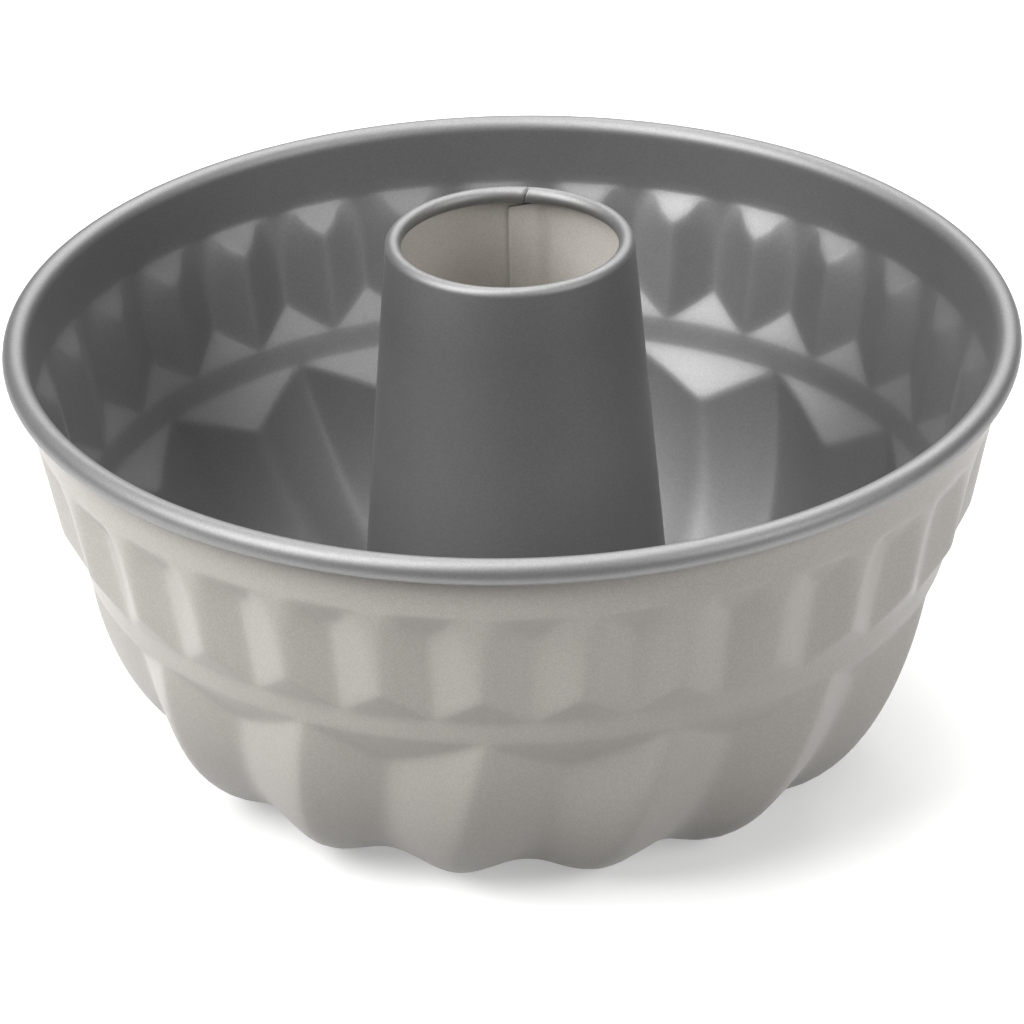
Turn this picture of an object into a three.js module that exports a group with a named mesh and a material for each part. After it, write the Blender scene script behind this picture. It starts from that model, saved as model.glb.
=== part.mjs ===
// Fluted ring-cake pan with a centre tube, in millimetres, +Z up.
// It stands at z = 0 on the pads under its lobes. The tube's axis is the Z axis and -Y is the front.

import * as THREE from 'three';

const { degToRad, lerp, smoothstep } = THREE.MathUtils;

// Sheet and fit
const SHEET = 0.6; // thickness of the coated steel sheet
const FIT = 0.3; // clearance between the shell and the tube at their seam

// Rolled rim of the shell
const RIM_RADIUS = 110; // outermost radius
const PAN_HEIGHT = 99.5; // top of the rim above the table
const RIM_ROLL = 2.7; // outer radius of the roll
const RIM_ROLL_TURN = degToRad(300); // how far round the sheet is rolled
const RIM_ROLL_STEPS = 10;

// Upper wall, from the middle of the rim roll downwards
const COLLAR_HEIGHT = 12.7; // plain collar above the flutes
const COLLAR_DRAFT = degToRad(2.6);
const WALL_DRAFT = degToRad(11.5); // lean of the fluted wall
const FLUTE_DEPTH = 3.2; // how far a flute is pressed in
const FLUTE_LEAD_IN = 6.8; // height of the triangle at the top of a flute
const FLUTE_RUN = 15.1; // height between the upper and the lower triangles
const FLUTE_LEAD_OUT = 7; // height of the triangle that closes the wall between two flutes
const RING_HEIGHT = 6; // plain ring band below the flutes
const RING_DRAFT = degToRad(7.5);

// Lower wall and floor
const LOBES = 15; // large flutes, each below two small ones
const FIRST_GROOVE = degToRad(13.6); // place of one large flute, from +X
const LOBE_DEPTH = 4.5; // how far a large flute is pressed in
const LOBE_LEAD_IN = 9.9; // length of the triangle at its top
const LOBE_TWIST = degToRad(0.13); // swirl for each millimetre down the wall
const LOWER_DRAFT = degToRad(7.5);
const WALL_PULL = 19.1; // how firmly the lower wall keeps its lean before it bends
const FLOOR_PULL = 22.7; // how firmly the floor stays level before it bends
const FLOOR_DEPTH = 4.8; // its depth where the wall meets the floor
const PAD_RADIUS = 56.6; // middle of the flat pad under each lobe
const PAD_LENGTH = 6;
const TOP_SHARE = 0.14; // share of half a lobe that rounds the crests below the collar
const CREST_SHARE = 0.05; // the same share beside the ring band
const PAD_SHARE = 0.14; // the same share at the pads
const FACET_START = 0.1; // share of a triangle's height at its corners
const LOWER_STEPS = 6;
const FLOOR_STEPS = 3;

// Centre tube and the seam that holds it
const TUBE_HEIGHT = 119.5; // top of the tube above the table
const TUBE_TOP_RADIUS = 26.6;
const TUBE_FOOT_RADIUS = 35.6;
const TUBE_ROLL = 1.5; // outer radius of the roll at the tube's top
const TUBE_ROLL_TURN = degToRad(270);
const TUBE_ROLL_STEPS = 6;
const TUBE_SIDES = 60;
const LAP_WIDTH = 5; // overlap of the sheet at the tube's seam
const LAP_PLACE = degToRad(84); // middle of the overlap, at the back
const LAP_STEP = 0.4; // width over which the edge of the overlap fades
const LAP_END = 3; // distance of the overlap from the roll and from the bead
const SEAT_HEIGHT = 7; // underside of the shell's seat above the table
const BEAD = 2; // radius of the bead that rests on the seat
const BEAD_STEPS = 4;
const FLANGE_WIDTH = 3.5; // flange turned out under the seat
const SEAT_MARGIN = 1.5; // level seat beyond the flange

// Points on a circle about the Z axis
function onCircle(angle, radius, height) {
  return new THREE.Vector3(radius * Math.cos(angle), radius * Math.sin(angle), height);
}

// Triangles between two neighbouring rings of points, facing the side that lies to the right
// of the way from one ring to the next. A ring may have twice the points of its neighbour.
function stitch(upper, lower) {
  const faces = [];
  const above = (index) => upper.start + (index % upper.points.length);
  const below = (index) => lower.start + (index % lower.points.length);
  const count = Math.min(upper.points.length, lower.points.length);
  for (let j = 0; j < count; j += 1) {
    if (lower.points.length > count) {
      faces.push([above(j), below(2 * j), below(2 * j + 1)]);
      faces.push([above(j), below(2 * j + 1), above(j + 1)]);
      faces.push([above(j + 1), below(2 * j + 1), below(2 * j + 2)]);
    } else if (upper.points.length > count) {
      faces.push([above(2 * j), below(j), above(2 * j + 1)]);
      faces.push([above(2 * j + 1), below(j), below(j + 1)]);
      faces.push([above(2 * j + 1), below(j + 1), above(2 * j + 2)]);
    } else {
      const next = (j + 1) % count;
      const falling = upper.points[j].distanceTo(lower.points[next]);
      const rising = upper.points[next].distanceTo(lower.points[j]);
      if (falling < rising) {
        faces.push([above(j), below(j), below(j + 1)], [above(j), below(j + 1), above(j + 1)]);
      } else {
        faces.push([above(j), below(j), above(j + 1)], [below(j), below(j + 1), above(j + 1)]);
      }
    }
  }
  return faces;
}

// A closed sheet from the rings of its outer face, thickened behind that face
function sheetSolid(ringPoints, thicknessAt) {
  const rings = [];
  const outer = [];
  for (const points of ringPoints) {
    rings.push({ start: outer.length, points });
    outer.push(...points);
  }
  const faces = [];
  for (let i = 1; i < rings.length; i += 1) {
    faces.push(...stitch(rings[i - 1], rings[i]));
  }
  const face = new THREE.BufferGeometry().setFromPoints(outer);
  face.setIndex(faces.flat());
  face.computeVertexNormals();
  const normal = new THREE.Vector3();
  const inner = [];
  rings.forEach((ring, ringIndex) => {
    ring.points.forEach((point, column) => {
      normal.fromBufferAttribute(face.getAttribute('normal'), ring.start + column);
      inner.push(point.clone().addScaledVector(normal, -thicknessAt(ringIndex, column)));
    });
  });
  const back = outer.length;
  const closed = [...faces];
  for (const [a, b, c] of faces) {
    closed.push([back + a, back + c, back + b]);
  }
  const first = rings[0];
  const last = rings[rings.length - 1];
  for (let j = 0; j < first.points.length; j += 1) {
    const a = first.start + j;
    const b = first.start + ((j + 1) % first.points.length);
    closed.push([a, b, back + b], [a, back + b, back + a]);
  }
  for (let j = 0; j < last.points.length; j += 1) {
    const a = last.start + j;
    const b = last.start + ((j + 1) % last.points.length);
    closed.push([b, a, back + a], [b, back + a, back + b]);
  }
  const solid = new THREE.BufferGeometry().setFromPoints([...outer, ...inner]);
  solid.setIndex(closed.flat());
  solid.computeVertexNormals();
  return solid;
}

// Section of a pressed flute: 1 in its sharp bottom, falling straight to a rounded crest at 0
function roundedVee(distance, straight) {
  const steepness = 2 / (1 + straight);
  if (distance < straight) {
    return 1 - steepness * distance;
  }
  return (steepness * (1 - distance) ** 2) / (2 * (1 - straight));
}

// Columns of the shell: eight to a lobe, on the bottoms, flanks and crests of both tiers.
// Each knows how deep it lies in the small flutes, in the large flutes and beside the pads.
function shellColumns(crestShare) {
  const edge = 1 - crestShare;
  const shares = [-1, -edge, -0.5, -crestShare, 0, crestShare, 0.5, edge];
  const crestEdge = roundedVee(edge, edge);
  const columns = [];
  for (let lobe = 0; lobe < LOBES; lobe += 1) {
    for (const share of shares) {
      const groove = roundedVee(Math.abs(share), edge);
      columns.push({
        angle: FIRST_GROOVE + ((2 * lobe + share) * Math.PI) / LOBES,
        flute: roundedVee(Math.abs(2 * Math.abs(share) - 1), 1 - 2 * crestShare),
        groove,
        padGroove: Math.max(0, (groove - crestEdge) / (1 - crestEdge)),
      });
    }
  }
  return columns;
}

// How far along a triangle its slanting edge has come at a given depth
function facetReach(depthShare) {
  return lerp(FACET_START, 1, depthShare);
}

// Outer face of the shell, from the end of the rim roll to the edge of the centre hole
function shellRings() {
  const columns = shellColumns(CREST_SHARE);
  const padColumns = shellColumns(PAD_SHARE);
  const everyOther = (column, index) => index % 2 === 0;
  const rings = [];
  const addRing = (place, used = columns) => {
    rings.push(used.map((column) => {
      const { radius, height, twist = 0 } = place(column);
      return onCircle(column.angle - twist, radius, height);
    }));
  };

  // Rim roll
  const rollBore = RIM_ROLL - SHEET;
  const rollRadius = RIM_RADIUS - RIM_ROLL;
  const rollHeight = PAN_HEIGHT - RIM_ROLL;
  for (let step = 0; step <= RIM_ROLL_STEPS; step += 1) {
    const turn = Math.PI - RIM_ROLL_TURN * (1 - step / RIM_ROLL_STEPS);
    const radius = rollRadius + rollBore * Math.cos(turn);
    const height = rollHeight + rollBore * Math.sin(turn);
    addRing(() => ({ radius, height }), columns.filter(everyOther));
  }

  // Collar, small flutes with a triangle at each end, and ring band
  const collarRadius = rollRadius - rollBore - Math.tan(COLLAR_DRAFT) * COLLAR_HEIGHT;
  const collarHeight = rollHeight - COLLAR_HEIGHT;
  const upperWall = (drop, depth) => ({
    radius: collarRadius - Math.tan(WALL_DRAFT) * drop - depth,
    height: collarHeight - drop,
  });
  const fluteRunEnd = FLUTE_LEAD_IN + FLUTE_RUN;
  addRing(() => upperWall(0, 0));
  addRing(({ flute }) => {
    const drop = FLUTE_LEAD_IN * facetReach(flute);
    return upperWall(drop, FLUTE_DEPTH * flute);
  }, shellColumns(TOP_SHARE));
  addRing(({ flute }) => {
    const drop = fluteRunEnd + FLUTE_LEAD_OUT * (1 - facetReach(1 - flute));
    return upperWall(drop, FLUTE_DEPTH * flute);
  });
  const bandTop = upperWall(fluteRunEnd + FLUTE_LEAD_OUT, FLUTE_DEPTH);
  const bandFoot = {
    radius: bandTop.radius - Math.tan(RING_DRAFT) * RING_HEIGHT,
    height: bandTop.height - RING_HEIGHT,
  };
  addRing(() => bandTop);
  addRing(() => bandFoot);

  // Large swirled flutes, on a wall that bends smoothly into the floor
  const padOuter = PAD_RADIUS + PAD_LENGTH / 2;
  const padInner = PAD_RADIUS - PAD_LENGTH / 2;
  const start = new THREE.Vector2(bandFoot.radius, bandFoot.height);
  const lean = new THREE.Vector2(-Math.sin(LOWER_DRAFT), -Math.cos(LOWER_DRAFT));
  const section = new THREE.CubicBezierCurve(
    start,
    start.clone().addScaledVector(lean, WALL_PULL),
    new THREE.Vector2(padOuter + FLOOR_PULL, 0),
    new THREE.Vector2(padOuter, 0),
  );
  const wallLength = section.getLength();
  const lowerWall = (length, depth) => {
    const point = section.getPointAt(length / wallLength);
    const along = section.getTangentAt(length / wallLength);
    return {
      radius: point.x + along.y * depth,
      height: point.y - along.x * depth,
      twist: LOBE_TWIST * length,
    };
  };
  addRing(({ groove }) => lowerWall(LOBE_LEAD_IN * facetReach(groove), LOBE_DEPTH * groove));
  for (let step = 1; step < LOWER_STEPS; step += 1) {
    const share = step / LOWER_STEPS;
    const length = lerp(LOBE_LEAD_IN, wallLength, share);
    const depth = lerp(LOBE_DEPTH, FLOOR_DEPTH, share);
    const crestShare = lerp(CREST_SHARE, PAD_SHARE, share);
    addRing(({ groove }) => lowerWall(length, depth * groove), shellColumns(crestShare));
  }

  // Pads, floor rising to the seat, and edge of the centre hole
  for (const radius of [padOuter, padInner]) {
    const twist = LOBE_TWIST * (wallLength + padOuter - radius);
    addRing(({ padGroove }) => ({ radius, height: FLOOR_DEPTH * padGroove, twist }), padColumns);
  }
  const holeRadius = TUBE_FOOT_RADIUS + FIT;
  const seatRadius = TUBE_FOOT_RADIUS + FLANGE_WIDTH + SEAT_MARGIN;
  for (let step = 1; step <= FLOOR_STEPS; step += 1) {
    const share = step / FLOOR_STEPS;
    const rise = smoothstep(share, 0, 1);
    const radius = lerp(padInner, seatRadius, share);
    const twist = LOBE_TWIST * (wallLength + padOuter - radius);
    addRing(({ groove }) => {
      const height = lerp(FLOOR_DEPTH * groove, SEAT_HEIGHT, rise);
      return { radius, height, twist };
    }, padColumns.filter(everyOther));
  }
  const seatTwist = LOBE_TWIST * (wallLength + padOuter - seatRadius);
  const holeEdge = { radius: holeRadius, height: SEAT_HEIGHT, twist: seatTwist };
  addRing(() => holeEdge, padColumns.filter(everyOther));
  return rings;
}

// Column angles of the tube: evenly spaced, with close pairs at both edges of the lap seam
function tubeAngles() {
  const middleRadius = (TUBE_TOP_RADIUS + TUBE_FOOT_RADIUS) / 2;
  const halfLap = LAP_WIDTH / 2 / middleRadius;
  const fade = LAP_STEP / middleRadius;
  const angles = [LAP_PLACE - halfLap, LAP_PLACE + halfLap];
  const open = 2 * Math.PI - 2 * (halfLap + fade);
  for (let side = 0; side < TUBE_SIDES; side += 1) {
    angles.push(LAP_PLACE + halfLap + fade + (open * side) / (TUBE_SIDES - 1));
  }
  return angles;
}

// Section of the tube's outer face, from the end of the top roll to the edge of the flange.
// The stretch that carries the lap seam is marked.
function tubeSection() {
  const section = [];
  const rollRadius = TUBE_TOP_RADIUS - TUBE_ROLL;
  const rollHeight = TUBE_HEIGHT - TUBE_ROLL;
  for (let step = 0; step <= TUBE_ROLL_STEPS; step += 1) {
    const turn = TUBE_ROLL_TURN * (1 - step / TUBE_ROLL_STEPS);
    section.push({
      radius: rollRadius + TUBE_ROLL * Math.cos(turn),
      height: rollHeight + TUBE_ROLL * Math.sin(turn),
    });
  }
  const beadHeight = SEAT_HEIGHT + SHEET + FIT + BEAD;
  const coneFoot = beadHeight + BEAD;
  const coneRadius = (height) => {
    const share = (rollHeight - height) / (rollHeight - coneFoot);
    return lerp(TUBE_TOP_RADIUS, TUBE_FOOT_RADIUS, share);
  };
  for (const height of [rollHeight - LAP_END, coneFoot + LAP_END]) {
    section.push({ radius: coneRadius(height), height, lapped: true });
  }
  for (let step = 0; step <= BEAD_STEPS; step += 1) {
    const turn = Math.PI * (0.5 - step / BEAD_STEPS);
    section.push({
      radius: TUBE_FOOT_RADIUS + BEAD * Math.cos(turn),
      height: beadHeight + BEAD * Math.sin(turn),
    });
  }
  section.push({ radius: TUBE_FOOT_RADIUS, height: SEAT_HEIGHT - FIT });
  section.push({ radius: TUBE_FOOT_RADIUS + FLANGE_WIDTH, height: SEAT_HEIGHT - FIT });
  return section;
}

function flutedShell() {
  const geometry = sheetSolid(shellRings(), () => SHEET);
  const material = new THREE.MeshStandardMaterial({ color: 0xb3afa8, roughness: 0.45, metalness: 0.6 });
  const mesh = new THREE.Mesh(geometry, material);
  mesh.name = 'fluted_shell';
  return mesh;
}

function centreTube() {
  const angles = tubeAngles();
  const section = tubeSection();
  const rings = section.map(({ radius, height }) => angles.map((angle) => onCircle(angle, radius, height)));
  const lapColumns = 2;
  const thicknessAt = (ring, column) => (section[ring].lapped && column < lapColumns ? 2 * SHEET : SHEET);
  const geometry = sheetSolid(rings, thicknessAt);
  const material = new THREE.MeshStandardMaterial({ color: 0x6b6b6b, roughness: 0.5, metalness: 0.5 });
  const mesh = new THREE.Mesh(geometry, material);
  mesh.name = 'centre_tube';
  return mesh;
}

const pan = new THREE.Group();
pan.add(flutedShell(), centreTube());

export default pan;
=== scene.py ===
# %% [markdown]
# # A fluted tube pan
# This pan is two pieces of thin coated steel: a deep-drawn fluted shell, and a conical tube through its
# middle that carries heat into the ring of cake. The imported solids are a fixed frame: they stay where
# they are, and each piece made here takes the place of one of them, in the same millimetres.

# %% Load the frame
import math

import bpy
import numpy as np
from mathutils import Matrix, Vector


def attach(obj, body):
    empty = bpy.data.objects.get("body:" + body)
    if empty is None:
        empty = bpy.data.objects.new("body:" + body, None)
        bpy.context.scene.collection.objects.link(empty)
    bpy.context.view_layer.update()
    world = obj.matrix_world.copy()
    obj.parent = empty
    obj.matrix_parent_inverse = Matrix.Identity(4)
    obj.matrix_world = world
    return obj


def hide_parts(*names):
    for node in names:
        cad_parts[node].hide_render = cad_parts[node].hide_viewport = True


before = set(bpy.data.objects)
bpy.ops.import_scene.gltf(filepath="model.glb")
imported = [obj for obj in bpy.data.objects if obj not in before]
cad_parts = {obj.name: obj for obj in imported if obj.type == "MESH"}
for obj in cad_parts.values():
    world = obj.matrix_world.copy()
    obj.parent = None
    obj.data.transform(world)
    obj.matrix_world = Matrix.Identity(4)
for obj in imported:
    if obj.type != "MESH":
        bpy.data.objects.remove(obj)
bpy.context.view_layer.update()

MM = 0.001

# %% [markdown]
# ## The section of the shell
# Cut the real shell down the middle and its section is one line of sheet: a roll at the rim, a plain
# collar, a leaning wall, a ring band, a lower wall that bends into the floor, and a level seat round the
# hole. A lathe could spin that line, but the flutes need a depth of their own at every point, so the line
# is kept as rows of radius and height and the flutes are pressed into the rows. The lower wall is a Bezier
# curve like Blender's own, and its two pulls are the lengths of the handles. All sizes here are of the
# outside face, in millimetres and degrees.

# %% Rim and collar
SHEET = 0.6
RIM_RADIUS = 110.0
PAN_HEIGHT = 99.5
RIM_ROLL = 2.7
COLLAR_HEIGHT = 12.7
COLLAR_DRAFT = 2.6

roll_bore = RIM_ROLL - SHEET
roll_radius = RIM_RADIUS - RIM_ROLL
roll_height = PAN_HEIGHT - RIM_ROLL
collar_lean = math.tan(math.radians(COLLAR_DRAFT))
collar_radius = roll_radius - roll_bore - collar_lean * COLLAR_HEIGHT
collar_foot = roll_height - COLLAR_HEIGHT
print("collar ends at radius", round(collar_radius, 1), "mm and height", round(collar_foot, 1), "mm")

# %% Fluted wall and ring band
WALL_DRAFT = 10.9
FLUTE_DEPTH = 2.9
FLUTE_LEAD_IN = 6.2
FLUTE_RUN = 15.7
FLUTE_LEAD_OUT = 7.0
RING_HEIGHT = 6.0
RING_DRAFT = 13.0

wall_lean = math.tan(math.radians(WALL_DRAFT))
run_end = FLUTE_LEAD_IN + FLUTE_RUN
wall_height = run_end + FLUTE_LEAD_OUT
band_lean = math.tan(math.radians(RING_DRAFT))
band_end = wall_height + RING_HEIGHT
band_radius = collar_radius - wall_lean * wall_height - FLUTE_DEPTH - band_lean * RING_HEIGHT
print("ring band ends", round(band_end, 1), "mm under the collar at radius", round(band_radius, 1), "mm")

# %% Lower wall and bend into the floor
LOWER_DRAFT = 7.5
WALL_PULL = 19.1
FLOOR_PULL = 22.7
PAD_OUTER = 59.6
BEND_POINTS = 600

lower_lean = math.radians(LOWER_DRAFT)
lower_start = np.array([band_radius, collar_foot - band_end])
lower_bend = lower_start - WALL_PULL * np.array([math.sin(lower_lean), math.cos(lower_lean)])
floor_end = np.array([PAD_OUTER, 0.0])
floor_bend = floor_end + np.array([FLOOR_PULL, 0.0])
t = np.linspace(0, 1, BEND_POINTS)[:, None]
bend = (
    (1 - t) ** 3 * lower_start
    + 3 * (1 - t) ** 2 * t * lower_bend
    + 3 * (1 - t) * t**2 * floor_bend
    + t**3 * floor_end
)
bend_length = np.concatenate([[0], np.cumsum(np.linalg.norm(np.diff(bend, axis=0), axis=1))])
bend_way = np.gradient(bend, axis=0)
bend_way = bend_way / np.linalg.norm(bend_way, axis=1)[:, None]
wall_length = bend_length[-1]
print("lower wall is", round(wall_length, 1), "mm long, from", round(lower_start[1], 1), "mm above the table")

# %% [markdown]
# ## The pressed sheet as a formula
# A press tool makes each flute as a narrow valley between rounded crests, closed by flat triangles at its
# ends. Sculpting forty-five flutes by hand would never come out even, but a formula does. It follows the
# sheet down from the collar: the depth at a point is the valley's section, cut off by the sloping plane
# of each triangle, so the lesser of the two is taken at a flute's top and the greater at its bottom. The
# crests stay flat and broad between the upper triangles, and the large flutes soften towards the floor.

# %% Sections of the flutes
VALLEY_SHARE = 0.04
CREST_SHARE = 0.06
TOP_SHARE = 0.2
TOP_FLAT = 0.35
FLANK_HOLLOW = 0.2
LOBE_VALLEY_SHARE = 0.12
FLOOR_SHARE = 0.5


def rounded_vee(distance, valley, crest):
    """1 in the valley, straight flanks, 0 on the crest; valley and crest are rounded over these shares."""
    steepness = 1 / (1 - valley / 2 - crest / 2)
    bottom = 1 - steepness * distance**2 / (2 * valley)
    flank = 1 - steepness * (distance - valley / 2)
    top = steepness * (1 - distance) ** 2 / (2 * crest)
    return np.where(distance < valley, bottom, np.where(distance < 1 - crest, flank, top))


def small_flute(share, drop):
    """Section of a small flute: hollow flanks, and a crest that is broad and flat near the collar."""
    crest = CREST_SHARE + (TOP_SHARE - CREST_SHARE) * np.clip(1 - drop / run_end, 0, 1)
    flat = TOP_FLAT * np.clip(1 - drop / FLUTE_LEAD_IN, 0, 1)
    distance = np.minimum(np.abs(2 * np.abs(share) - 1) / (1 - flat), 1)
    distance = distance * (1 - FLANK_HOLLOW * (1 - distance))
    return rounded_vee(distance, VALLEY_SHARE, 2 * crest)


def large_flute(share, fade):
    """Section of a large flute; it is rounder near the floor."""
    crest = CREST_SHARE + (FLOOR_SHARE - CREST_SHARE) * fade**2
    valley = LOBE_VALLEY_SHARE + (FLOOR_SHARE - LOBE_VALLEY_SHARE) * fade**2
    return rounded_vee(np.abs(share), valley, crest)


halfway_up = round(float(small_flute(0.25, run_end)), 2)
print("halfway from valley to crest a small flute still has", halfway_up, "of its depth")

# %% Points of the pressed sheet
LOBE_DEPTH = 4.5
LOBE_LEAD_IN = 9.9
FLOOR_DEPTH = 3.1


def pressed_sheet(drop, share):
    """Radius and height at a drop below the collar's foot and a share of half a lobe from its groove."""
    share = (share + 1) % 2 - 1
    above = np.minimum(drop, 0)
    fluted = np.clip(drop, 0, wall_height)
    banded = np.clip(drop - wall_height, 0, RING_HEIGHT)
    pressed = np.minimum(small_flute(share, fluted), fluted / FLUTE_LEAD_IN)
    pressed = np.maximum(pressed, (fluted - run_end) / FLUTE_LEAD_OUT)
    lean_in = collar_lean * above + wall_lean * fluted + band_lean * banded
    radius = collar_radius - lean_in - FLUTE_DEPTH * pressed
    height = collar_foot - above - fluted - banded

    length = np.clip(drop - band_end, 0, wall_length)
    fade = np.maximum(0, (length - LOBE_LEAD_IN) / (wall_length - LOBE_LEAD_IN))
    groove = np.minimum(large_flute(share, fade), length / LOBE_LEAD_IN)
    depth = (LOBE_DEPTH + fade * (FLOOR_DEPTH - LOBE_DEPTH)) * groove
    way_out, way_up = (np.interp(length, bend_length, bend_way[:, axis]) for axis in (0, 1))
    radius = radius + np.interp(length, bend_length, bend[:, 0]) - lower_start[0] + way_up * depth
    height = height + np.interp(length, bend_length, bend[:, 1]) - lower_start[1] - way_out * depth
    return radius, height


crest_radius, valley_radius = (float(pressed_sheet(run_end, share)[0]) for share in (0, 0.5))
print("a small flute ends", round(crest_radius - valley_radius, 2), "mm deep")

# %% [markdown]
# ## Soft creases
# Sheet steel can't fold to a knife edge: each crease keeps a small bend. A Bevel modifier would need every
# crease picked out as an edge first. Here a point takes the mean of the sharp sheet over a small patch
# round it instead. On a flat face that mean is the point itself, so only the creases round off.

# %% Mean over a patch
LOBES = 15
CREASE_BEND = 0.85
PATCH_REACH = 2
PATCH_POINTS = 7

shifts = np.linspace(-PATCH_REACH, PATCH_REACH, PATCH_POINTS)
weights = np.exp(-(shifts**2) / 2)
weights = weights / weights.sum()
half_lobe = lower_start[0] * math.pi / LOBES
share_of_bend = CREASE_BEND / half_lobe


def soft_sheet(drop, share):
    """The pressed sheet with its creases bent: a weighted mean of sharp points round each point."""
    radius, height = 0, 0
    for down, down_weight in zip(shifts, weights):
        for side, side_weight in zip(shifts, weights):
            sharp = pressed_sheet(drop + CREASE_BEND * down, share + share_of_bend * side)
            radius = radius + down_weight * side_weight * sharp[0]
            height = height + down_weight * side_weight * sharp[1]
    return radius, height


print("each crease bends over about", 2 * CREASE_BEND, "mm; half a lobe is", round(half_lobe, 1), "mm wide")

# %% [markdown]
# ## A mesh that follows the creases
# A crease looks clean only where the mesh has an edge along it, so the columns run down the valleys and
# crests, and the rows run along the slanting edges of the triangles. Between two creases the mesh lines
# crowd towards both of them, which keeps the flat faces cheap and the bends smooth. Each row below the
# band is turned a little further than the one above, as the press tool is: that makes the large swirl.

# %% Columns round the shell
FIRST_GROOVE = 13.6
CROWDING = 0.7
QUARTER_COLUMNS = 8


def crowded(steps):
    """Shares from 0 to 1, without the last, that crowd towards both ends."""
    even = np.arange(steps) / steps
    return even - CROWDING * np.sin(2 * np.pi * even) / (2 * np.pi)


quarters = np.arange(-2, 2)[:, None] / 2 + crowded(QUARTER_COLUMNS)[None, :] / 2
lobe_share = np.tile(quarters.ravel(), LOBES)
lobe_number = np.repeat(np.arange(LOBES), quarters.size)
around = np.radians(FIRST_GROOVE) + (2 * lobe_number + lobe_share) * np.pi / LOBES
column_count = len(around)
print(column_count, "columns, a small flute every", 180 / LOBES, "degrees, a large one every", 360 / LOBES)

# %% Rows of the rim roll
RIM_ROLL_TURN = 300.0
RIM_ROLL_ROWS = 21

shell_rows = []


def add_row(radius, height, turn=0.0):
    """One row of the shell; each value is a number or one number per column."""
    shell_rows.append([np.broadcast_to(value, column_count) for value in (radius, height, turn)])


for turn in np.radians(np.linspace(180 - RIM_ROLL_TURN, 180, RIM_ROLL_ROWS)):
    add_row(roll_radius + roll_bore * math.cos(turn), roll_height + roll_bore * math.sin(turn))
print("rim is rolled through", RIM_ROLL_TURN, "degrees in", len(shell_rows), "rows")

# %% Edges of the triangles
LEAST_SHARE = 0.12
EDGE_ROUNDS = 20

triangle_foot = np.zeros(column_count)
for edge_round in range(EDGE_ROUNDS):
    triangle_foot = FLUTE_LEAD_IN * np.maximum(small_flute(lobe_share, triangle_foot), LEAST_SHARE)
triangle_top = run_end + FLUTE_LEAD_OUT * np.minimum(small_flute(lobe_share, run_end), 1 - LEAST_SHARE)
lobe_foot = band_end + LOBE_LEAD_IN * np.maximum(large_flute(lobe_share, 0), LEAST_SHARE)
print("upper triangles reach", round(float(triangle_foot.max()), 1), "mm down from the collar")

# %% Rows of the wall
LOBE_TWIST = 0.13
LOWER_ROWS = 31


def swirl(length):
    """Turn in degrees at a length of sheet below the ring band."""
    return LOBE_TWIST * np.maximum(0, length)


# Each zone has its top, its foot and the shares of the way between them that get a row
zones = [
    (-COLLAR_HEIGHT, 0, crowded(6)[1:]),
    (0, triangle_foot, crowded(6)),
    (triangle_foot, triangle_top, crowded(8)),
    (triangle_top, wall_height, crowded(6)),
    (wall_height, band_end, crowded(5)),
    (band_end, lobe_foot, crowded(7)),
    (lobe_foot, band_end + wall_length, 2 * crowded(2 * LOWER_ROWS)[:LOWER_ROWS]),
]
for zone_top, zone_foot, shares in zones:
    for share in shares:
        drop = zone_top + share * (zone_foot - zone_top)
        add_row(*soft_sheet(drop, lobe_share), swirl(drop - band_end))
print("swirl of", round(float(swirl(wall_length)), 1), "degrees from the band to the floor")

# %% Rows of the floor and the seat
PAD_INNER = 53.6
PAD_SHARE = 0.14
SEAT_HEIGHT = 7.0
SEAT_RADIUS = 40.6
HOLE_RADIUS = 35.9
PAD_ROWS = 3
FLOOR_ROWS = 6
SEAT_ROWS = 3


def ease(share):
    """A smooth step from 0 to 1."""
    share = np.clip(share, 0, 1)
    return share * share * (3 - 2 * share)


def floor_swirl(radius):
    """Turn in degrees at a radius of the floor, where the swirl of the wall goes on."""
    return swirl(wall_length + PAD_OUTER - radius)


groove = large_flute(lobe_share, 1)
pad_edge = large_flute(1 - PAD_SHARE, 1)
flat_pads = np.maximum(0, (groove - pad_edge) / (1 - pad_edge))
for share in np.arange(PAD_ROWS) / PAD_ROWS:
    radius = PAD_OUTER + share * (PAD_INNER - PAD_OUTER)
    add_row(radius, FLOOR_DEPTH * flat_pads, floor_swirl(radius))
for share in np.arange(FLOOR_ROWS) / FLOOR_ROWS:
    radius = PAD_INNER + share * (SEAT_RADIUS - PAD_INNER)
    pan_floor = FLOOR_DEPTH * (flat_pads + share * (groove - flat_pads))
    add_row(radius, pan_floor + ease(share) * (SEAT_HEIGHT - pan_floor), floor_swirl(radius))
for radius in np.linspace(SEAT_RADIUS, HOLE_RADIUS, SEAT_ROWS):
    add_row(radius, SEAT_HEIGHT, floor_swirl(SEAT_RADIUS))
shell_radius, shell_height, shell_turn = np.array(shell_rows).transpose(1, 0, 2)
print(len(shell_rows), "rows; lowest point", round(float(shell_height.min()), 3), "mm")

# %% [markdown]
# ## One sheet, two coats
# The steel comes coated before it is pressed: dark non-stick on the side that meets the cake, a warm
# silver on the other. So the mesh is one face of the sheet, and a Solidify modifier adds the thickness
# behind it. Its material offset gives the new side the second material, which is just how the real sheet
# changes colour: over the rolled rim the dark side comes out on top.

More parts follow.
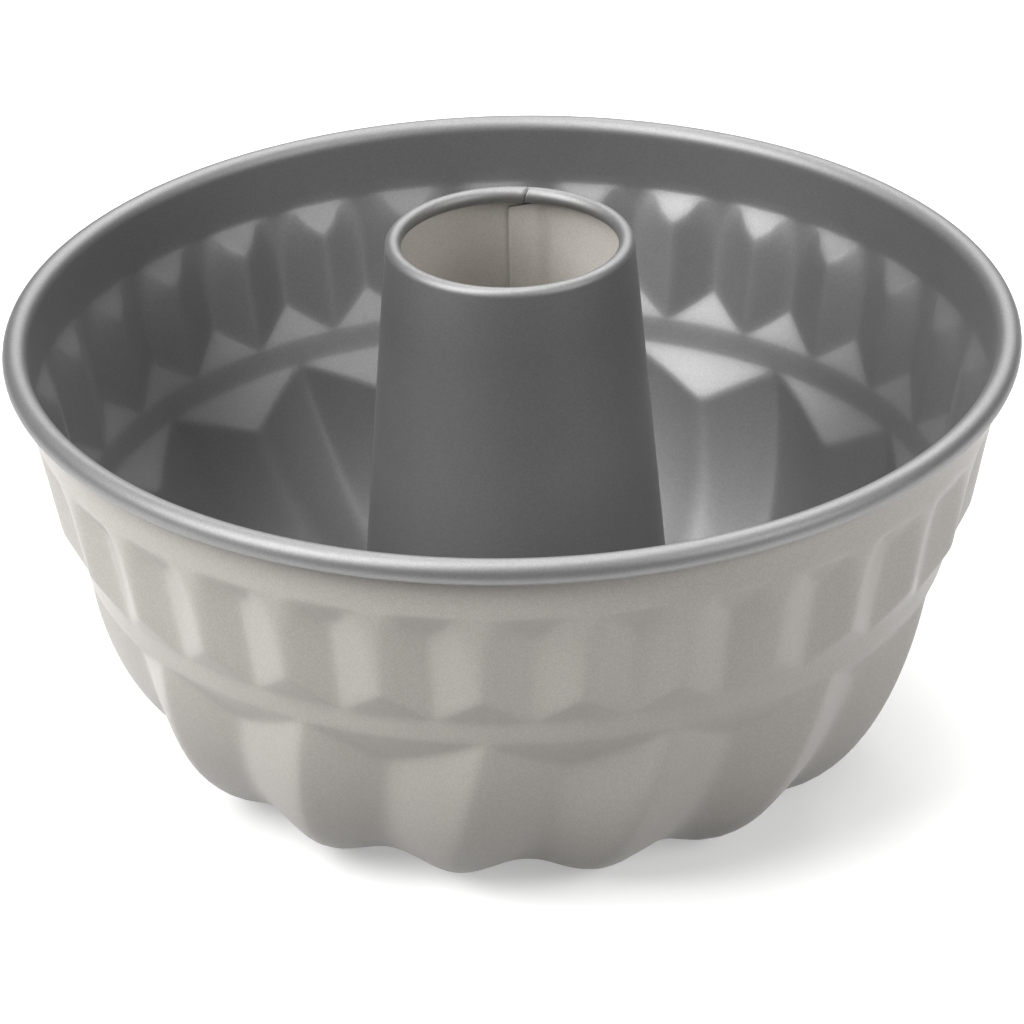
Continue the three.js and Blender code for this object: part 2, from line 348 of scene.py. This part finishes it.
# %% Build the shell
def sheet_object(name, points, closed):
    """One face of a sheet from rows of points, thickened behind that face."""
    rows, columns, _ = points.shape
    steps = columns if closed else columns - 1
    faces = []
    for row in range(rows - 1):
        for column in range(steps):
            following = (column + 1) % columns
            above, below = row * columns, (row + 1) * columns
            faces.append((above + column, below + column, below + following, above + following))
    mesh = bpy.data.meshes.new(name)
    mesh.from_pydata(points.reshape(-1, 3).tolist(), [], faces)
    mesh.polygons.foreach_set("use_smooth", [True] * len(faces))
    piece = bpy.data.objects.new(name, mesh)
    bpy.context.collection.objects.link(piece)
    thicken = piece.modifiers.new("sheet thickness", "SOLIDIFY")
    thicken.thickness = SHEET * MM
    thicken.offset = -1
    thicken.material_offset = 1
    thicken.material_offset_rim = 1
    print(name, "has", len(faces), "faces on its first side")
    return piece


angles = around[None, :] - np.radians(shell_turn)
shell_points = np.stack([
    shell_radius * np.cos(angles),
    shell_radius * np.sin(angles),
    shell_height,
], axis=2)
shell = sheet_object("pressed_shell", shell_points * MM, closed=True)

# %% [markdown]
# ## The centre tube
# The tube is a strip of the same sheet, bent into a cone until its ends lap at the back. Its top edge is
# rolled inwards, and its foot is swaged through the shell's hole: a bead above the seat and a flange
# below hold the two together. The strip is made as a strip, a little longer than once round, and its last
# stretch steps inwards by the sheet's thickness, so the lap seam is real. At the top the inner end is
# notched, as a tinsmith does it, so that the roll is not made of double sheet and its ends meet edge to
# edge.

# %% Section of the tube
TUBE_HEIGHT = 119.5
TUBE_TOP_RADIUS = 26.9
TUBE_FOOT_RADIUS = 35.6
TUBE_ROLL = 1.75
TUBE_ROLL_TURN = 270.0
BEAD = 2.0
FIT = 0.3
FLANGE_WIDTH = 3.5
ROLL_POINTS = 25
CONE_POINTS = 40
CONE_CROWDING = 1.5
BEAD_POINTS = 13
FLANGE_POINTS = 4

tube_roll_height = TUBE_HEIGHT - TUBE_ROLL
bead_height = SEAT_HEIGHT + SHEET + FIT + BEAD
section = []
roll_turns = np.linspace(TUBE_ROLL_TURN, 0, ROLL_POINTS)
for turn in np.radians(roll_turns):
    radius = TUBE_TOP_RADIUS - TUBE_ROLL * (1 - math.cos(turn))
    section.append((radius, tube_roll_height + TUBE_ROLL * math.sin(turn)))
cone_foot = bead_height + BEAD
for share in np.linspace(0, 1, CONE_POINTS)[1:] ** CONE_CROWDING:
    height = tube_roll_height + share * (cone_foot - tube_roll_height)
    section.append((TUBE_TOP_RADIUS + share * (TUBE_FOOT_RADIUS - TUBE_TOP_RADIUS), height))
for turn in np.radians(np.linspace(90, -90, BEAD_POINTS)[1:]):
    section.append((TUBE_FOOT_RADIUS + BEAD * math.cos(turn), bead_height + BEAD * math.sin(turn)))
section.append((TUBE_FOOT_RADIUS, SEAT_HEIGHT))
for flange in np.linspace(0, FLANGE_WIDTH, FLANGE_POINTS):
    section.append((TUBE_FOOT_RADIUS + flange, SEAT_HEIGHT - FIT))
section = np.array(section)
print("tube section has", len(section), "points")

# %% Bend the strip round
LAP_OUTER_EDGE = 78.7
LAP_INNER_EDGE = 90.3
LAP_STEP = 9.0
ROUND_COLUMNS = 170
STEP_COLUMNS = 12
LAP_COLUMNS = 10

step_end = 360 + LAP_OUTER_EDGE
step_start = step_end - LAP_STEP
lap_end = 360 + LAP_INNER_EDGE
strip = np.concatenate([
    np.linspace(LAP_OUTER_EDGE, step_start, ROUND_COLUMNS, endpoint=False),
    np.linspace(step_start, step_end, STEP_COLUMNS, endpoint=False),
    np.linspace(step_end, lap_end, LAP_COLUMNS),
])
lap_width = math.radians(LAP_INNER_EDGE - LAP_OUTER_EDGE) * TUBE_TOP_RADIUS
print("strip goes round in", len(strip) - 1, "steps and laps over", round(lap_width, 1), "mm at its top")

# %% Lap and notch
LAP_GAP = 0.05
NOTCH_DEPTH = 2.3
NOTCH_SLOPE = 1.3
BUTT_GAP = 0.5
ROLL_SLANT = 3.0

below_roll = (tube_roll_height - section[:, 1])[:, None]
below_roll[:ROLL_POINTS] = 0
stepped = ease(below_roll / NOTCH_DEPTH)
lapped = ease((below_roll - NOTCH_DEPTH) / NOTCH_SLOPE)
butted = (LAP_STEP - BUTT_GAP) / (lap_end - step_start)
stretch = butted + (1 - butted) * lapped
strip_angle = np.where(strip > step_start, step_start + (strip - step_start) * stretch, strip)
strip_angle[:ROLL_POINTS] += ROLL_SLANT * roll_turns[:, None] / 180
strip_angle = np.radians(strip_angle)

inset = (SHEET + LAP_GAP) * ease((strip - step_start) / LAP_STEP) * stepped
heading = np.gradient(section, axis=0)
heading = heading / np.linalg.norm(heading, axis=1)[:, None]
tube_radius = section[:, 0, None] + heading[:, 1, None] * inset
tube_height = section[:, 1, None] - heading[:, 0, None] * inset
tube_points = np.stack([
    tube_radius * np.cos(strip_angle),
    tube_radius * np.sin(strip_angle),
    tube_height,
], axis=2)
tube = sheet_object("lapped_tube", tube_points * MM, closed=False)

# %% [markdown]
# ## The coats
# Both coats are paint full of fine metal flakes: satin, a little grainy close up, brighter where they
# catch a lamp. A plain grey would look like plastic. A cell texture a fraction of a millimetre wide
# stands for the flakes and changes the colour a little from flake to flake, a fine noise roughens the
# surface, and a broad one lets the gloss vary as a sprayed coat does.

# %% Coat material
SHINE = 0.25
FLAKE_SCALE = 4500
FLAKE_CHANGE = 0.12
SPRAY_SCALE = 45
SPRAY_DETAIL = 4
GLOSS_CHANGE = 0.05
GRAIN_SCALE = 4000
GRAIN_DETAIL = 3
GRAIN_STRENGTH = 0.12
GRAIN_HEIGHT = 0.05


def coat(name, colour, metallic, gloss):
    """A paint with metal flakes; a lower gloss value is a smoother coat."""
    material = bpy.data.materials.new(name)
    material.use_nodes = True
    nodes, links = material.node_tree.nodes, material.node_tree.links
    shader = nodes["Principled BSDF"]
    shader.inputs["Metallic"].default_value = metallic
    shader.inputs["Specular IOR Level"].default_value = SHINE

    place = nodes.new("ShaderNodeTexCoord")
    flakes = nodes.new("ShaderNodeTexVoronoi")
    flakes.inputs["Scale"].default_value = FLAKE_SCALE
    links.new(place.outputs["Object"], flakes.inputs["Vector"])
    shade = nodes.new("ShaderNodeMapRange")
    shade.inputs["To Min"].default_value = 1 - FLAKE_CHANGE
    shade.inputs["To Max"].default_value = 1 + FLAKE_CHANGE
    links.new(flakes.outputs["Color"], shade.inputs["Value"])
    tint = nodes.new("ShaderNodeMix")
    tint.data_type = "RGBA"
    tint.blend_type = "MULTIPLY"
    tint.inputs["Factor"].default_value = 1
    tint.inputs["A"].default_value = (*colour, 1)
    links.new(shade.outputs["Result"], tint.inputs["B"])
    links.new(tint.outputs["Result"], shader.inputs["Base Color"])

    sprayed = nodes.new("ShaderNodeTexNoise")
    sprayed.inputs["Scale"].default_value = SPRAY_SCALE
    sprayed.inputs["Detail"].default_value = SPRAY_DETAIL
    links.new(place.outputs["Object"], sprayed.inputs["Vector"])
    roughness = nodes.new("ShaderNodeMapRange")
    roughness.inputs["To Min"].default_value = gloss - GLOSS_CHANGE
    roughness.inputs["To Max"].default_value = gloss + GLOSS_CHANGE
    links.new(sprayed.outputs["Fac"], roughness.inputs["Value"])
    links.new(roughness.outputs["Result"], shader.inputs["Roughness"])

    grain = nodes.new("ShaderNodeTexNoise")
    grain.inputs["Scale"].default_value = GRAIN_SCALE
    grain.inputs["Detail"].default_value = GRAIN_DETAIL
    links.new(place.outputs["Object"], grain.inputs["Vector"])
    bump = nodes.new("ShaderNodeBump")
    bump.inputs["Strength"].default_value = GRAIN_STRENGTH
    bump.inputs["Distance"].default_value = GRAIN_HEIGHT * MM
    links.new(grain.outputs["Fac"], bump.inputs["Height"])
    links.new(bump.outputs["Normal"], shader.inputs["Normal"])
    print(name, "made with", len(nodes), "nodes")
    return material


silver_coat = coat("warm_silver_coat", (0.57, 0.542, 0.502), metallic=0.0, gloss=0.36)
dark_coat = coat("dark_nonstick_coat", (0.28, 0.28, 0.28), metallic=0.85, gloss=0.55)
for material in (silver_coat, dark_coat):
    shell.data.materials.append(material)
for material in (dark_coat, silver_coat):
    tube.data.materials.append(material)

# %% [markdown]
# ## Place the pieces in the frame
# Each piece rides on the part's one body and takes the place of the solid that it was made from.

# %% Ride and replace
for piece, node, slot in ((shell, "fluted_shell", "shell_coat"), (tube, "centre_tube", "tube_coat")):
    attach(piece, "root")
    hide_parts(node)
    print(piece.name, "stands for", node)

# %% [markdown]
# ## Paper, table, lamps and surroundings
# The photograph is a studio shot on white. Here the pan stands on a sheet of white paper, which ends close
# in front of it, on a grey table. The paper takes the soft shadow under the lobes, and a little glow of
# its own lifts it to white. It is white where the camera or a reflection sees it, and duller for the light
# that it throws back at the pan, which would flatten the flutes. The strongest of four soft lamps stands
# high at the left and draws the flutes; one behind the pan and one above it light the rolled rim; a weak
# one at the right keeps the shaded side open.

# %% Table and paper
TABLE_REACH = 3.0
TABLE_GREY = 0.28
TABLE_LEVEL = -0.3
PAPER_SIDE = 0.5
PAPER_FRONT = -0.18
PAPER_BACK = 0.8
PAPER_LEVEL = -0.1


def level_sheet(name, low, high, height):
    """A level rectangle under the pan, from its low corner to its high corner, in metres."""
    mesh = bpy.data.meshes.new(name)
    corners = [(low[0], low[1]), (high[0], low[1]), (high[0], high[1]), (low[0], high[1])]
    mesh.from_pydata([(x, y, height) for x, y in corners], [], [(0, 1, 2, 3)])
    sheet = bpy.data.objects.new(name, mesh)
    bpy.context.collection.objects.link(sheet)
    print(name, "is", round(high[0] - low[0], 2), "by", round(high[1] - low[1], 2), "m")
    return sheet


table = level_sheet("table", (-TABLE_REACH, -TABLE_REACH), (TABLE_REACH, TABLE_REACH), TABLE_LEVEL * MM)
grey = bpy.data.materials.new("grey_table")
grey.use_nodes = True
grey_shader = grey.node_tree.nodes["Principled BSDF"]
grey_shader.inputs["Base Color"].default_value = (TABLE_GREY, TABLE_GREY, TABLE_GREY, 1)
grey_shader.inputs["Roughness"].default_value = 1
grey_shader.inputs["Specular IOR Level"].default_value = 0
table.data.materials.append(grey)

floor = level_sheet("floor", (-PAPER_SIDE, PAPER_FRONT), (PAPER_SIDE, PAPER_BACK), PAPER_LEVEL * MM)

# %% White paper
PAPER_WHITE = 0.85
PAPER_BOUNCE = 0.2
PAPER_GLOW = 0.38

paper = bpy.data.materials.new("white_paper")
paper.use_nodes = True
nodes, links = paper.node_tree.nodes, paper.node_tree.links
nodes.remove(nodes["Principled BSDF"])
ray = nodes.new("ShaderNodeLightPath")
seen = ray.outputs["Is Camera Ray"]
for kind_of_ray in ("Is Glossy Ray", "Is Transmission Ray"):
    either = nodes.new("ShaderNodeMath")
    either.operation = "MAXIMUM"
    links.new(seen, either.inputs[0])
    links.new(ray.outputs[kind_of_ray], either.inputs[1])
    seen = either.outputs["Value"]
whiteness = nodes.new("ShaderNodeMapRange")
whiteness.inputs["To Min"].default_value = PAPER_BOUNCE
whiteness.inputs["To Max"].default_value = PAPER_WHITE
links.new(seen, whiteness.inputs["Value"])
level = nodes.new("ShaderNodeMath")
level.operation = "MULTIPLY"
level.inputs[1].default_value = PAPER_GLOW
links.new(seen, level.inputs[0])
matt = nodes.new("ShaderNodeBsdfDiffuse")
links.new(whiteness.outputs["Result"], matt.inputs["Color"])
glow = nodes.new("ShaderNodeEmission")
links.new(level.outputs["Value"], glow.inputs["Strength"])
both = nodes.new("ShaderNodeAddShader")
links.new(matt.outputs["BSDF"], both.inputs[0])
links.new(glow.outputs["Emission"], both.inputs[1])
links.new(both.outputs["Shader"], nodes["Material Output"].inputs["Surface"])
floor.data.materials.append(paper)
print("white paper made with", len(nodes), "nodes")

# %% Lamps and world
LAMP_AIM = Vector((0, 0, 0.05))
SURROUNDINGS = 0.05


def soft_lamp(name, place, width, height, power):
    """A round or oval area lamp that faces the pan; places and sizes in metres, power in watts."""
    lamp = bpy.data.lights.new(name, "AREA")
    lamp.shape = "ELLIPSE"
    lamp.size = width
    lamp.size_y = height
    lamp.energy = power
    holder = bpy.data.objects.new(name, lamp)
    holder.location = place
    holder.rotation_euler = (LAMP_AIM - Vector(place)).to_track_quat("-Z", "Y").to_euler()
    bpy.context.collection.objects.link(holder)
    print(name, "of", power, "W")


soft_lamp("left_lamp", (-1.06, -0.59, 1.33), width=1.2, height=1.7, power=41)
soft_lamp("back_lamp", (0.34, 1.18, 1.32), width=2.2, height=0.9, power=23)
soft_lamp("right_lamp", (1.25, -0.91, 0.93), width=1.1, height=0.9, power=11)
soft_lamp("top_lamp", (0.0, 0.0, 1.8), width=1.0, height=1.0, power=16)

world = bpy.data.worlds.new("grey_surroundings")
world.use_nodes = True
background = world.node_tree.nodes["Background"]
background.inputs["Color"].default_value = (1, 1, 1, 1)
background.inputs["Strength"].default_value = SURROUNDINGS
bpy.context.scene.world = world
print("surroundings of strength", SURROUNDINGS)

# %% [markdown]
# ## Camera
# The rim's ellipse in the photograph gives the camera: a long lens, about twenty-eight degrees above the
# table, turned a degree about its own axis. A Track To constraint would keep it level, so its three axes
# are written straight into the matrix instead.

# %% Camera
CAMERA_DISTANCE = 1.2
CAMERA_ELEVATION = 28.33
CAMERA_ROLL = -1.17
CAMERA_LENS = 191.6
CAMERA_SENSOR = 36
CAMERA_TARGET = Vector((-0.71, 0, 52.45)) * MM

elevation = math.radians(CAMERA_ELEVATION)
roll = math.radians(CAMERA_ROLL)
back = Vector((0, -math.cos(elevation), math.sin(elevation)))
level_right = Vector((1, 0, 0))
level_up = back.cross(level_right)
right = math.cos(roll) * level_right + math.sin(roll) * level_up
up = math.cos(roll) * level_up - math.sin(roll) * level_right
lens = bpy.data.cameras.new("camera")
lens.sensor_width = CAMERA_SENSOR
lens.lens = CAMERA_LENS
camera = bpy.data.objects.new("camera", lens)
bpy.context.collection.objects.link(camera)
camera_place = Matrix.Translation(CAMERA_TARGET + CAMERA_DISTANCE * back)
camera.matrix_world = camera_place @ Matrix((right, up, back)).transposed().to_4x4()
bpy.context.scene.camera = camera
bpy.context.scene.view_settings.view_transform = "Standard"
print("camera at", [round(value, 3) for value in camera.matrix_world.translation])
